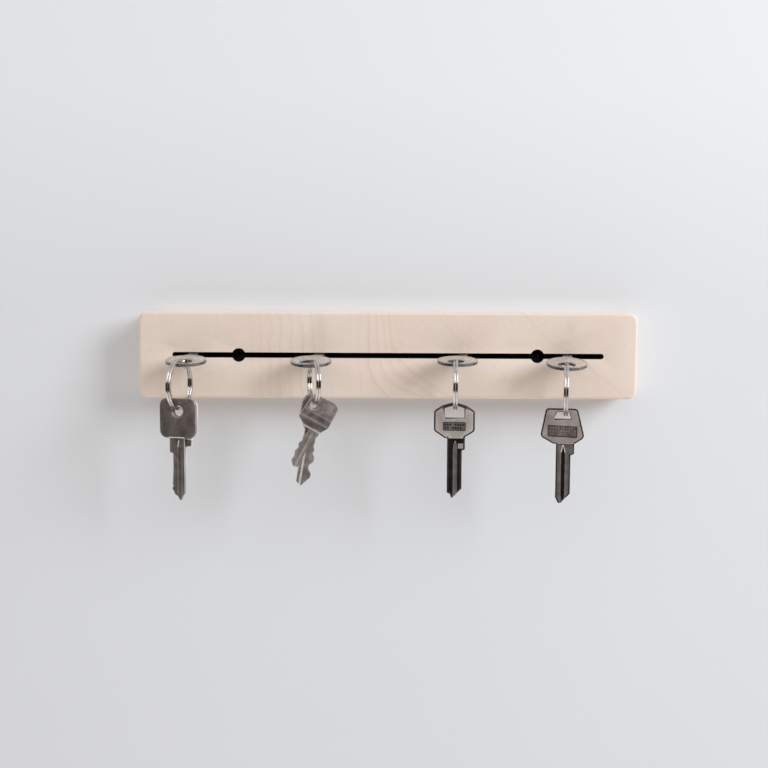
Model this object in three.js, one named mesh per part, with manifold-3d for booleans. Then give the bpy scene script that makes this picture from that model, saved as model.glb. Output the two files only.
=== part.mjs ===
// Wall key organiser: a wooden block with one long undercut slot, clear tags that slide along the
// slot on small double-headed pins, and split rings with keys hanging from the tags.
//
// Units are millimetres. +X runs along the block, +Z is up, and the wall is the plane Y = 0 with the
// block in front of it, towards -Y. The origin is the middle of the block's back face.

import * as THREE from 'three';
import { mergeVertices } from 'three/addons/utils/BufferGeometryUtils.js';
import Module from 'manifold-3d';

const wasm = await Module();
wasm.setup();

// ---------------------------------------------------------------- driving dimensions

const BLOCK = { width: 295.5, height: 51, depth: 22, corner: 6, roundOver: 1.8 };
const SLOT = { length: 255, mouth: 2.8, lip: 2.5, channelHeight: 7.7, channelDepth: 8 };
const ENTRY_X = 88.4; // the two round holes where a tag's pin goes in
const SCREW = { head: 3.6, headHeight: 2.4, shank: 1.9, length: 34, point: 5, hole: 2.3, recess: 0.4 };
const CROSS = { span: 4.2, width: 0.8, depth: 1.5 }; // the recess in a screw's head
const PIN = { head: 1.95, shank: 1.2, headHeight: 1.25, halfHeight: 2.5, fromWall: 16.8 };
const TAG = { radius: 11.75, thickness: 2, bevel: 0.3, neck: 5.3, neckLength: 4, filletRadius: 3 };
const RING_HOLE = { radius: 5, fromTagCentre: 4.7 };
const PIN_HOLE = 1.5;
const WIRE = { radial: 2, axial: 1.3, pitch: 1.45, corner: 0.35 }; // one turn of a split ring
const KEY = { thickness: 2.1, bladeThickness: 2, bevel: 0.2, groove: 0.45, badge: 0.3, clearance: 0.5 };

// One station for each tag, left to right. x is where its pin stands in the slot. Headings are
// turned from straight out of the wall, positive to the right. tilt is how far the tag's front
// edge hangs down in the slot's play. A ring has its own heading, and it may rest on the rim of the
// tag's hole at another (rim). A key hangs over to the right by lean, and along is its place on the
// ring's lowest stretch, measured from the middle towards the wall.
const STATIONS = [
  {
    x: -115, heading: -5, tilt: 9, ring: { diameter: 29.5, heading: -16.4 },
    keys: [{ kind: 'square', lean: 0, along: -2.4 }, { kind: 'squareBack', lean: -3, along: 0.3 }],
  },
  {
    x: -39.6, heading: -14, tilt: 9.5, ring: { diameter: 26, heading: 16.3, rim: 32 },
    keys: [{ kind: 'cutFront', lean: -29.5, along: -1.35 }, { kind: 'cutBack', lean: -10, along: 1.35 }],
  },
  {
    x: 45.8, heading: -15.5, tilt: 7.7, ring: { diameter: 29.5, heading: -3.8 },
    keys: [{ kind: 'window', lean: 0, along: 0 }],
  },
  {
    x: 107.1, heading: -10, tilt: 11.8, ring: { diameter: 30.5, heading: -9.4 },
    keys: [{ kind: 'trapezoid', lean: 0, along: 0 }],
  },
];

// ---------------------------------------------------------------- materials

const finish = (color, roughness, metalness) =>
  new THREE.MeshStandardMaterial({ color, roughness, metalness });

const MATERIALS = {
  wood: finish(0xd6c3b5, 0.6, 0),
  screwSteel: finish(0x8f8f90, 0.4, 1),
  pinSteel: finish(0xb9b9b8, 0.3, 1),
  acrylic: new THREE.MeshStandardMaterial({
    color: 0xe4e6e2, roughness: 0.08, metalness: 0, transparent: true, opacity: 0.4,
  }),
  chrome: finish(0xd8d8d8, 0.12, 1),
  darkNickel: finish(0x5b504d, 0.45, 1),
  brownNickel: finish(0x6e615e, 0.42, 1),
  brightNickel: finish(0xb9b4af, 0.25, 1),
  warmNickel: finish(0x9d938d, 0.35, 1),
};

// ---------------------------------------------------------------- solids and booleans

const radians = THREE.MathUtils.degToRad;

function toSolid(geometry) {
  const bare = geometry.clone();
  bare.deleteAttribute('normal');
  bare.deleteAttribute('uv');
  const merged = mergeVertices(bare, 1e-5);
  return new wasm.Manifold(new wasm.Mesh({
    numProp: 3,
    vertProperties: new Float32Array(merged.attributes.position.array),
    triVerts: new Uint32Array(merged.index.array),
  }));
}

function toGeometry(solid) {
  const mesh = solid.getMesh();
  const geometry = new THREE.BufferGeometry();
  geometry.setAttribute('position', new THREE.BufferAttribute(new Float32Array(mesh.vertProperties), 3));
  geometry.setIndex(new THREE.BufferAttribute(new Uint32Array(mesh.triVerts), 1));
  geometry.computeVertexNormals();
  return geometry;
}

function cut(geometry, tools) {
  let solid = toSolid(geometry);
  for (const tool of tools) {
    solid = solid.subtract(toSolid(tool));
  }
  return toGeometry(solid);
}

// A front-view outline (x to the right, y up) given depth towards the viewer, from the plane Y = back.
function plate(shape, depth, back = 0, bevel = 0, segments = 8) {
  const geometry = new THREE.ExtrudeGeometry(shape, {
    depth: depth - 2 * bevel,
    bevelEnabled: bevel > 0,
    bevelThickness: bevel,
    bevelSize: bevel,
    bevelOffset: -bevel,
    bevelSegments: bevel > 1 ? 3 : 1,
    curveSegments: segments,
  });
  return geometry.translate(0, 0, bevel).rotateX(Math.PI / 2).translate(0, back, 0);
}

// A turned piece about the Y axis: the profile's points are [radius, y].
function turned(profile, segments = 24) {
  return new THREE.LatheGeometry(profile.map(([r, y]) => new THREE.Vector2(r, y)), segments);
}

// ---------------------------------------------------------------- outlines

// A closed outline through corners [x, y, radius], each rounded off by its radius.
function roundedOutline(corners) {
  const shape = new THREE.Shape();
  corners.forEach(([x, y, radius = 0], i) => {
    const corner = new THREE.Vector2(x, y);
    const before = corners[(i + corners.length - 1) % corners.length];
    const after = corners[(i + 1) % corners.length];
    const toBefore = new THREE.Vector2(before[0] - x, before[1] - y).normalize();
    const toAfter = new THREE.Vector2(after[0] - x, after[1] - y).normalize();
    const half = Math.acos(THREE.MathUtils.clamp(toBefore.dot(toAfter), -1, 1)) / 2;
    const reach = radius / Math.tan(half);
    const start = corner.clone().addScaledVector(toBefore, reach);
    const end = corner.clone().addScaledVector(toAfter, reach);
    if (i === 0) {
      shape.moveTo(start.x, start.y);
    } else {
      shape.lineTo(start.x, start.y);
    }
    if (radius > 0) {
      shape.quadraticCurveTo(x, y, end.x, end.y);
    }
  });
  shape.closePath();
  return shape;
}

function rectangle(width, height, radius = 0, x = 0, y = 0) {
  const [w, h] = [width / 2, height / 2];
  return roundedOutline([
    [x - w, y - h, radius], [x + w, y - h, radius], [x + w, y + h, radius], [x - w, y + h, radius],
  ]);
}

function circle(radius, x = 0, y = 0) {
  const shape = new THREE.Shape();
  shape.absarc(x, y, radius, 0, 2 * Math.PI, false);
  return shape;
}

// The points of an arc, both ends included.
function arc(x, y, radius, from, to, steps) {
  return Array.from({ length: steps + 1 }, (_, i) => {
    const angle = from + (to - from) * i / steps;
    return new THREE.Vector2(x + radius * Math.cos(angle), y + radius * Math.sin(angle));
  });
}

// A straight slot with round ends, centred on the origin.
function stadium(length, height) {
  const r = height / 2;
  const reach = length / 2 - r;
  const shape = new THREE.Shape();
  shape.absarc(reach, 0, r, -Math.PI / 2, Math.PI / 2, false);
  shape.absarc(-reach, 0, r, Math.PI / 2, 1.5 * Math.PI, false);
  shape.closePath();
  return shape;
}

// ---------------------------------------------------------------- block and wall screws

const SLOT_FLOOR = -(BLOCK.depth - SLOT.lip - SLOT.channelDepth); // Y of the channel's floor
const LIP_BACK = -(BLOCK.depth - SLOT.lip);
const CLEAR = 1; // how far a cutter runs past the face that it opens

// A countersunk hole from the channel's floor through to the back face.
function screwHoleCutter(x) {
  const seat = SLOT_FLOOR + SCREW.recess + SCREW.headHeight + 0.3;
  const profile = [
    [0, SLOT_FLOOR - CLEAR], [SCREW.head + 0.2, SLOT_FLOOR - CLEAR],
    [SCREW.head + 0.2, SLOT_FLOOR + SCREW.recess], [SCREW.hole, seat], [SCREW.hole, CLEAR], [0, CLEAR],
  ];
  return turned(profile).translate(x, 0, 0);
}

function woodBlock() {
  const { width, height, depth, corner, roundOver } = BLOCK;
  const channelLength = SLOT.length - SLOT.mouth + SLOT.channelHeight;
  const cutters = [
    plate(stadium(SLOT.length, SLOT.mouth), SLOT.lip + 2 * CLEAR, LIP_BACK + CLEAR),
    plate(stadium(channelLength, SLOT.channelHeight), SLOT.channelDepth, SLOT_FLOOR),
  ];
  for (const x of [-ENTRY_X, ENTRY_X]) {
    const entry = circle(SLOT.channelHeight / 2, x);
    cutters.push(plate(entry, SLOT.lip + SLOT.channelDepth / 2 + CLEAR, SLOT_FLOOR - SLOT.channelDepth / 2));
    cutters.push(screwHoleCutter(x));
  }
  return cut(plate(rectangle(width, height, corner), depth, 0, roundOver), cutters);
}

// A countersunk wood screw with a cross recess, its head just under the channel's floor.
function wallScrew() {
  const top = SLOT_FLOOR + SCREW.recess;
  const tip = top + SCREW.length;
  const profile = [
    [0, top], [SCREW.head - 0.2, top], [SCREW.shank, top + SCREW.headHeight],
    [SCREW.shank, tip - SCREW.point], [0.3, tip], [0, tip],
  ];
  const { span, width, depth } = CROSS;
  const arms = [[span, width], [width, span]].map(
    ([w, h]) => plate(rectangle(w, h), depth + CLEAR, top + depth),
  );
  return cut(turned(profile, 20), arms);
}

// ---------------------------------------------------------------- pins and tags

// A pin with a head at each end, upright on the origin. The heads run behind the slot's lips.
function slidePin() {
  const { head, shank, headHeight, halfHeight } = PIN;
  const neck = halfHeight - headHeight;
  const profile = [
    [0, -halfHeight], [head, -halfHeight], [head, -neck], [shank, -neck],
    [shank, neck], [head, neck], [head, halfHeight], [0, halfHeight],
  ];
  return turned(profile, 16).rotateX(Math.PI / 2);
}

// The pin stands back in the channel, so the tag's centre is this far in front of the pin.
const TAG_CENTRE = BLOCK.depth - PIN.fromWall + TAG.neckLength + TAG.radius;

// A flat tag lying in the plane Z = 0 and pointing towards -Y, with the pin's axis at the origin.
function tag() {
  const half = TAG.neck / 2;
  const fillet = TAG.filletRadius;
  const rise = Math.sqrt((TAG.radius + fillet) ** 2 - (half + fillet) ** 2);
  const lean = Math.atan2(half + fillet, rise); // where a fillet meets the disc, from the neck's axis
  const holeAt = -TAG_CENTRE - RING_HOLE.fromTagCentre;
  const shape = new THREE.Shape([
    ...arc(0, 0, half, Math.PI, 0, 10),
    ...arc(half + fillet, rise - TAG_CENTRE, fillet, Math.PI, 1.5 * Math.PI - lean, 4),
    ...arc(0, -TAG_CENTRE, TAG.radius, Math.PI / 2 - lean, lean - 1.5 * Math.PI, 36).slice(1),
    ...arc(-half - fillet, rise - TAG_CENTRE, fillet, lean - Math.PI / 2, 0, 4).slice(1),
  ]);
  shape.holes.push(
    new THREE.Path(arc(0, 0, PIN_HOLE, 0, 2 * Math.PI, 12).slice(1)),
    new THREE.Path(arc(0, holeAt, RING_HOLE.radius, 0, 2 * Math.PI, 28).slice(1)),
  );
  const flat = plate(shape, TAG.thickness, 0, TAG.bevel);
  return flat.rotateX(-Math.PI / 2).translate(0, 0, -TAG.thickness / 2);
}

// ---------------------------------------------------------------- split rings

// The centre line of a split ring in the plane Z = 0: two turns side by side that change sides
// over a short crossing, where the wire's two ends stop.
class SplitRingPath extends THREE.Curve {
  constructor(radius) {
    super();
    this.radius = radius;
    this.crossing = radians(36);
  }

  getPoint(t, target = new THREE.Vector3()) {
    const angle = t * (4 * Math.PI - this.crossing);
    const start = 2 * Math.PI - this.crossing;
    const side = THREE.MathUtils.smoothstep(angle, start, start + this.crossing) - 0.5;
    return target.set(this.radius * Math.cos(angle), this.radius * Math.sin(angle), side * WIRE.pitch);
  }
}

// A split ring upright in the plane X = 0, with its crossing towards the front.
function splitRing(diameter) {
  const { axial, radial, corner } = WIRE;
  const [w, h] = [axial / 2, radial / 2];
  const section = new THREE.Shape();
  section.moveTo(w, -h + corner);
  for (const [x, y] of [
    [w, h - corner], [w - corner, h], [corner - w, h], [-w, h - corner],
    [-w, corner - h], [corner - w, -h], [w - corner, -h],
  ]) {
    section.lineTo(x, y);
  }
  section.closePath();
  const path = new SplitRingPath(diameter / 2 - h);
  const swept = new THREE.ExtrudeGeometry(section, { steps: 56, bevelEnabled: false, extrudePath: path });
  return swept.rotateZ(radians(200)).rotateY(Math.PI / 2);
}

// ---------------------------------------------------------------- keys

// Each kind of key is drawn in its own front view and hung from the origin, which is the middle of
// the wire that passes through its eye. head and blade are corners [x, y, radius], a groove is
// [x, width, top, bottom] on both faces, and a badge is a recess [width, height, x, y] on both faces.
const EYE_TOP = WIRE.radial / 2 + KEY.clearance; // the highest point of a flat-topped eye
const ROUND_EYE_TOP = EYE_TOP + 0.4; // a round eye rests on the wire's two corners

// A blade below a head: shoulder is [side, how far it stands out, bottom], and end lists the
// corners of the pointed end from left to right.
function bladeOutline({ left, right, top, shoulder, end }) {
  const [side, reach, bottom] = shoulder;
  const shoulderCorners = side === 'left'
    ? [[left - reach, top], [left - reach, bottom + 0.8, 0.6], [left, bottom, 0.3]]
    : [[right, bottom, 0.3], [right + reach, bottom + 0.8, 0.6], [right + reach, top]];
  return side === 'left'
    ? [...shoulderCorners, ...end, [right, top]]
    : [[left, top], ...end, ...shoulderCorners];
}

const KINDS = {
  square: {
    material: 'darkNickel',
    head: [[-10.9, 6.3, 5], [-10.9, -16.6, 5], [11.5, -16.6, 5], [11.5, 6.3, 5]],
    eye: circle(3.2, 0.3, ROUND_EYE_TOP - 2.9),
    blade: bladeOutline({
      left: -2.8, right: 4.3, top: -15, shoulder: ['left', 2.2, -25.5],
      end: [[-2.8, -44.4], [-3.5, -45], [-3.5, -46.2], [-2.7, -47.2], [-2, -49], [-0.3, -50],
        [0.9, -52.4, 0.5], [2.1, -52.2, 0.5], [2.9, -50], [4.3, -48.2]],
    }),
    grooves: [[0.9, 1.1, -19.5, -48.5]],
  },
  squareBack: {
    material: 'warmNickel',
    head: [[-10.9, 6, 5], [-10.9, -16.8, 5], [11, -16.8, 5], [11, 6, 5]],
    eye: circle(3.2, 0.2, ROUND_EYE_TOP - 3.1),
    blade: bladeOutline({
      left: -2.4, right: 5, top: -15, shoulder: ['right', 3.4, -21.6],
      end: [[-2.4, -44], [-0.4, -48.6], [1.2, -49.8, 0.5], [4, -47], [5, -44]],
    }),
    grooves: [[1.3, 1.1, -19.5, -45]],
  },
  cutFront: {
    material: 'brownNickel',
    head: [
      [-3.6, 3, 2.4], [1.6, 5.4, 2], [10.7, 5.8, 2.4], [14, 3.8, 2.4], [14, -9, 1.6], [11, -13.6, 1],
      [2, -14.4, 0.8], [-4.6, -10.3, 1.6],
    ],
    eye: circle(2.6, 0.3, ROUND_EYE_TOP - 2.6),
    blade: [
      [4.4, -12], [4.4, -17.4], [3.4, -19.4], [4.2, -21.6], [3, -24], [4.2, -26.2], [3.2, -29], [4.2, -31],
      [4, -34.6, 0.6], [6.6, -37.2, 0.4], [9.2, -36.4, 0.4], [9.2, -17, 0.3], [11, -16.2, 0.5], [11, -12],
    ],
    grooves: [[7.4, 0.9, -16.6, -35.8]],
  },
  cutBack: {
    material: 'darkNickel',
    head: [
      [-4.4, 4.4, 2.4], [2, 4.8, 2.4], [8.6, 2, 4], [9, -8, 4], [4.6, -16, 0.8], [-2.2, -16, 0.8],
      [-6.6, -7, 3.5], [-6.4, 0.6, 2.4],
    ],
    eye: circle(2.6, 0, ROUND_EYE_TOP - 2.6),
    blade: [
      [-2.2, -15], [-2.2, -45.8], [0.5, -48.4, 0.5], [5.4, -42.8, 0.4], [5.6, -40.6, 0.5], [3.5, -37.9],
      [3.4, -35.9], [5.8, -33.5, 0.5], [6, -31, 0.5], [4.5, -28.7], [5.3, -26.7, 0.5], [4.3, -24.4],
      [4.8, -22.3, 0.4], [4.8, -15],
    ],
    grooves: [[-0.8, 0.9, -17.4, -46]],
  },
  window: {
    material: 'brightNickel',
    head: [
      [-2.2, 3.4, 0.8], [1, 3.4, 0.8], [6.2, 1.8, 1], [11.2, -1.3, 2.2], [11.2, -12.9, 2.4],
      [5.9, -16.2, 0.8], [5, -17, 0.4], [-6.2, -17, 0.4], [-7.2, -16.2, 0.8], [-12.2, -12.9, 2.4],
      [-12.2, -1.3, 2.2], [-7.4, 1.8, 1],
    ],
    eye: roundedOutline([
      [-2, EYE_TOP, 0.4], [-6.1, EYE_TOP - 1.2, 0.6], [-6.1, -5.2, 0.6], [5.2, -5.2, 0.6],
      [5.2, EYE_TOP - 1.2, 0.6], [1.6, EYE_TOP, 0.4],
    ]),
    badge: [13, 5.1, -0.5, -10.1],
    blade: bladeOutline({
      left: -4.5, right: 3.9, top: -15, shoulder: ['right', 1.7, -24.2],
      end: [[-4.5, -48.6], [-2.8, -49.2], [-1.8, -51.9, 0.5], [3.9, -46.2]],
    }),
    grooves: [[0.1, 2, -18.6, -48.2], [-3.1, 0.8, -18.6, -48]],
  },
  trapezoid: {
    material: 'warmNickel',
    head: [
      [-11.2, 3.4, 2.6], [6.8, 3.4, 2.6], [10.9, -13.2, 3], [5.1, -17.1, 0.8], [-6.9, -17.1, 0.8],
      [-14.3, -13, 3],
    ],
    eye: roundedOutline([
      [-4.6, EYE_TOP, 0.6], [-6.9, -2.6, 0.6], [3.2, -2.6, 0.6], [1.9, EYE_TOP, 0.4],
    ]),
    badge: [17, 6.6, -1.8, -9.8],
    blade: bladeOutline({
      left: -5.2, right: 3.1, top: -15, shoulder: ['right', 2, -23.6],
      end: [[-5.2, -48.2], [-3.6, -51.4, 0.5], [-2.2, -51.4, 0.4], [3.1, -45.8]],
    }),
    grooves: [[-1.1, 2, -18.6, -48.6], [-3.8, 0.7, -18.6, -48], [1.5, 0.7, -18.6, -46.4]],
  },
};

// A key in the plane Y = 0, facing -Y, with its eye on the origin.
function key(kind) {
  const { head, eye, blade, grooves, badge } = KINDS[kind];
  const half = KEY.thickness / 2;
  const bladeHalf = KEY.bladeThickness / 2;
  const body = toSolid(plate(roundedOutline(head), KEY.thickness, half, KEY.bevel, 5));
  const whole = body.add(toSolid(plate(roundedOutline(blade), KEY.bladeThickness, bladeHalf, 0, 4)));
  const cutters = [plate(eye, KEY.thickness + 2 * CLEAR, half + CLEAR, 0, 6)];
  const sink = (outline, depth) => {
    cutters.push(plate(outline, depth + CLEAR, depth - half, 0, 3));
    cutters.push(plate(outline, depth + CLEAR, half + CLEAR, 0, 3));
  };
  for (const [x, width, top, bottom] of grooves) {
    sink(rectangle(width, top - bottom, 0, x, (top + bottom) / 2), KEY.groove);
  }
  if (badge) {
    const [width, height, x, y] = badge;
    sink(rectangle(width, height, 0.8, x, y), KEY.badge);
  }
  return cut(toGeometry(whole), cutters);
}

// ---------------------------------------------------------------- assembly

const model = new THREE.Group();

function named(name, geometry, material, parent) {
  const mesh = new THREE.Mesh(geometry, MATERIALS[material].clone());
  mesh.name = name;
  parent.add(mesh);
  return mesh;
}

// Where a ring rests on the rim of its tag's hole, in the tag's own frame. The rim is as wide as
// what the hole leaves of the disc on the line that the ring takes.
function rimPoint(azimuth) {
  const { radius, fromTagCentre } = RING_HOLE;
  const across = fromTagCentre * Math.sin(azimuth);
  const reach = Math.sqrt(TAG.radius ** 2 - across ** 2) - fromTagCentre * Math.cos(azimuth);
  const middle = (radius + reach) / 2;
  return new THREE.Vector3(
    middle * Math.sin(azimuth), -TAG_CENTRE - fromTagCentre - middle * Math.cos(azimuth), 0,
  );
}

const RIM_CLEARANCE = 0.5; // between the rim's upper face and the ring that hangs on it

function station({ x, heading, tilt, ring, keys }, number) {
  // The tag turns on its pin, and both tip forward about the middle of the slot's lip.
  const lipMiddle = BLOCK.depth - PIN.fromWall - SLOT.lip / 2;
  const tipped = new THREE.Group();
  tipped.position.set(x, -PIN.fromWall, lipMiddle * Math.tan(radians(tilt)));
  tipped.rotation.x = radians(tilt);
  model.add(tipped);
  named(`slide_pin_${number}`, slidePin(), 'pinSteel', tipped);
  const tagMesh = named(`tag_${number}`, tag(), 'acrylic', tipped);
  tagMesh.rotation.z = radians(heading);
  tagMesh.updateWorldMatrix(true, false);

  const azimuth = radians((ring.rim ?? ring.heading) - heading);
  const rim = rimPoint(azimuth).applyMatrix4(tagMesh.matrixWorld);
  const radius = ring.diameter / 2;
  const hung = new THREE.Group();
  hung.position.copy(rim);
  hung.position.z += TAG.thickness / 2 + RIM_CLEARANCE - (radius - WIRE.radial);
  hung.rotation.z = radians(ring.heading);
  model.add(hung);
  named(`split_ring_${number}`, splitRing(ring.diameter), 'chrome', hung);

  keys.forEach(({ kind, lean, along }, i) => {
    const { material } = KINDS[kind];
    const mesh = named(`key_${number}${keys.length > 1 ? 'ab'[i] : ''}`, key(kind), material, hung);
    mesh.position.set(0, along, -(radius - WIRE.radial / 2));
    mesh.rotation.y = radians(-lean);
  });
}

named('wood_block', woodBlock(), 'wood', model);
[-ENTRY_X, ENTRY_X].forEach((x, i) => {
  named(`wall_screw_${i + 1}`, wallScrew(), 'screwSteel', model).position.x = x;
});
STATIONS.forEach((each, i) => station(each, i + 1));

export default model;
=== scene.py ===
"""Looks of the wall key organiser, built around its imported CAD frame. Sizes are in millimetres until
a mesh is made, and in metres after that. +X runs along the block, +Y goes into the wall, +Z is up."""
import math

import bmesh
import bpy
import numpy as np
from mathutils import Matrix, Vector
from mathutils.geometry import delaunay_2d_cdt


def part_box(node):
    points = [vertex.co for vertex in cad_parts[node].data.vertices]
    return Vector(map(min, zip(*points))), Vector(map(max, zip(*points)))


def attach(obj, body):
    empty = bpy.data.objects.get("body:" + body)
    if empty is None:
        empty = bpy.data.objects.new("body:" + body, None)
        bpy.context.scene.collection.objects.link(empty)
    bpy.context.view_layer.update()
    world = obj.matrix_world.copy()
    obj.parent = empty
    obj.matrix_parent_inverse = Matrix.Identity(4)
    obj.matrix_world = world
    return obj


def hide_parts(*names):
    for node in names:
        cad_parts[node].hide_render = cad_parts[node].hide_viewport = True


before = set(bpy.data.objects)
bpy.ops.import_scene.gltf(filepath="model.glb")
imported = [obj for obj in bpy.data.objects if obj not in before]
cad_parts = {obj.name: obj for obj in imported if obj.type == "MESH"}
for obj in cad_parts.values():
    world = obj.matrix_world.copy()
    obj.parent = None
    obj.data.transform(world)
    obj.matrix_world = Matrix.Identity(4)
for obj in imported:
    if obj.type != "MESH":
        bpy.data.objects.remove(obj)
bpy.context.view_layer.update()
MM = 0.001
rad = math.radians


# ---------------------------------------------------------------- camera

FIELD_OF_VIEW, LOOK_DOWN, ROLL = 38.5, 5, 0.265
CAMERA_PLACE = (-0.0023, -0.672, 0.040)


def make_camera():
    data = bpy.data.cameras.new("camera")
    data.sensor_width = 36
    data.lens = data.sensor_width / 2 / math.tan(rad(FIELD_OF_VIEW) / 2)
    data.clip_start, data.clip_end = 0.01, 50
    camera = bpy.data.objects.new("camera", data)
    camera.matrix_world = (
        Matrix.Translation(CAMERA_PLACE)
        @ Matrix.Rotation(rad(90 - LOOK_DOWN), 4, "X")
        @ Matrix.Rotation(rad(ROLL), 4, "Z")
    )
    bpy.context.scene.collection.objects.link(camera)
    bpy.context.scene.camera = camera


make_camera()


# ---------------------------------------------------------------- shader nodes

class Nodes:
    """A node tree under construction: call it to add a node, with inputs by name or number."""

    def __init__(self, tree, output):
        self.tree = tree
        self.tree.nodes.clear()
        self.output = self.tree.nodes.new("ShaderNode" + output)

    def __call__(self, kind, inputs=None, **settings):
        node = self.tree.nodes.new("ShaderNode" + kind)
        for key, value in settings.items():
            setattr(node, key, value)
        for key, value in (inputs or {}).items():
            if isinstance(value, bpy.types.NodeSocket):
                self.tree.links.new(value, node.inputs[key])
            else:
                node.inputs[key].default_value = value
        return node

    def finish(self, node):
        self.tree.links.new(node.outputs[0], self.output.inputs[0])

    def math(self, operation, a, b=0.5, clamp=False):
        return self("Math", {0: a, 1: b}, operation=operation, use_clamp=clamp).outputs[0]

    def total(self, *terms):
        """The sum of each term's value times its weight."""
        found, *others = [self.math("MULTIPLY", value, weight) for value, weight in terms]
        for each in others:
            found = self.math("ADD", found, each)
        return found

    def split(self, vector):
        return self("SeparateXYZ", {0: vector}).outputs

    def join(self, **parts):
        return self("CombineXYZ", {key.upper(): value for key, value in parts.items()}).outputs[0]

    def map_range(self, value, start, end, to_start=0.0, to_end=1.0, **settings):
        inputs = dict(enumerate((value, start, end, to_start, to_end)))
        return self("MapRange", inputs, **settings).outputs[0]

    def ramp(self, factor, stops, colour=False):
        node = self("ValToRGB", {0: factor})
        elements = node.color_ramp.elements
        while len(elements) < len(stops):
            elements.new(0.5)
        for element, (at, value) in zip(elements, stops):
            element.position = at
            element.color = (*value, 1) if colour else (value, value, value, 1)
        return node.outputs[0]

    def mix(self, factor, a, b, blend="MIX"):
        node = self("Mix", data_type="RGBA", blend_type=blend)
        for index, value in ((0, factor), (6, a), (7, b)):
            if isinstance(value, bpy.types.NodeSocket):
                self.tree.links.new(value, node.inputs[index])
            else:
                node.inputs[index].default_value = value if index == 0 else (*value[:3], 1)
        return node.outputs[2]

    def noise(self, vector, scale, detail, rough=0.5, distortion=0.0):
        return self("TexNoise", {
            "Vector": vector, "Scale": scale, "Detail": detail, "Roughness": rough,
            "Distortion": distortion,
        }).outputs[0]


class Shader(Nodes):
    """A new material's nodes."""

    def __init__(self, name):
        self.material = bpy.data.materials.new(name)
        self.material.use_nodes = True
        super().__init__(self.material.node_tree, "OutputMaterial")

    def pattern(self, scale, detail=4.0, rough=0.5, distortion=0.0, turn=0):
        """Noise that lies still on its piece. scale is its spots per metre along each axis, and turn
        lays it askew about Z, in degrees."""
        place = self("Attribute", attribute_name="own_place").outputs["Vector"]
        laid = self("Mapping", {0: place, 2: (0, 0, rad(turn)), 3: scale}).outputs[0]
        return self.noise(laid, 1.0, detail, rough, distortion)

    def level(self):
        """How squarely the surface faces up or down, from 0 to 1."""
        normal = self("NewGeometry").outputs["Normal"]
        return self.split(self("VectorMath", {0: normal}, operation="ABSOLUTE").outputs[0])[2]

    def bump(self, height, strength, distance, normal=None):
        inputs = {"Height": height, "Strength": strength, "Distance": distance}
        if normal is not None:
            inputs["Normal"] = normal
        return self("Bump", inputs).outputs[0]

    def surface(self, **inputs):
        named = {key.replace("_", " "): value for key, value in inputs.items()}
        self.finish(self("BsdfPrincipled", named))
        return self.material


LINES_PER_METRE = 165.0
LINE_SHAPE = [(0.0, 0.0), (0.45, 0.10), (0.80, 0.50), (0.90, 1.0), (1.0, 0.0)]
LINES_FROM, LINES_TO = -0.1315, 0.1605
LINES_ALONG_BLOCK = [
    (0.0, 0.3), (0.12, 0.25), (0.16, 0.08), (0.19, 0.6), (0.305, 0.9), (0.34, 0.15), (0.40, 0.2),
    (0.42, 1.0), (0.49, 0.9), (0.53, 0.1), (0.63, 0.1), (0.657, 1.0), (0.685, 0.1), (0.82, 0.1),
    (0.846, 1.0), (0.875, 0.1), (1.0, 0.15),
]
KNOTS = [(-0.040, 0.017), (0.108, 0.017)]


def growth_lines(s, x, y, z):
    """Dark lines, 0 to 1: each fades in from its left and ends sharply, and they crowd in places."""
    wander = s.pattern((16, 16, 22), 3.0)
    sway = s.pattern((70, 70, 30), 3.0)
    lean = s.map_range(x, -0.02, 0.04, 0.06, 1.2, interpolation_type="SMOOTHSTEP")
    phase = s.total((x, 1.0), (z, lean), (wander, 0.018), (sway, 0.003), (y, 0.35))
    bands = s.math("MULTIPLY", phase, LINES_PER_METRE)
    strength = s.noise(s.join(x=s.math("FLOOR", bands)), 3.7, 0.0)
    line = s.ramp(s.math("FRACT", bands), LINE_SHAPE)
    line = s.math("MULTIPLY", line, s.ramp(strength, [(0.30, 0.35), (0.70, 1.0)]))
    crowd = s.ramp(s.map_range(phase, LINES_FROM, LINES_TO), LINES_ALONG_BLOCK)
    return s.math("MULTIPLY", line, crowd)


def smudges(s, x, z, cloud):
    """Faint grey patches, 0 to 1: a few loose ones, and one round each knot."""
    smudge = s.ramp(s.pattern((34, 34, 60), 3.0, 0.6), [(0.60, 0.0), (0.74, 0.45)])
    for across_at, up_at in KNOTS:
        across = s.math("SUBTRACT", x, across_at)
        up = s.math("MULTIPLY", s.math("SUBTRACT", z, up_at), 0.7)
        gap = s("VectorMath", {0: s.join(x=across, y=up)}, operation="LENGTH").outputs["Value"]
        knot = s.total((gap, 95.0), (cloud, 0.9))
        smudge = s.math("MAXIMUM", smudge, s.ramp(knot, [(0.55, 0.42), (1.05, 0.0)]))
    return smudge


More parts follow.
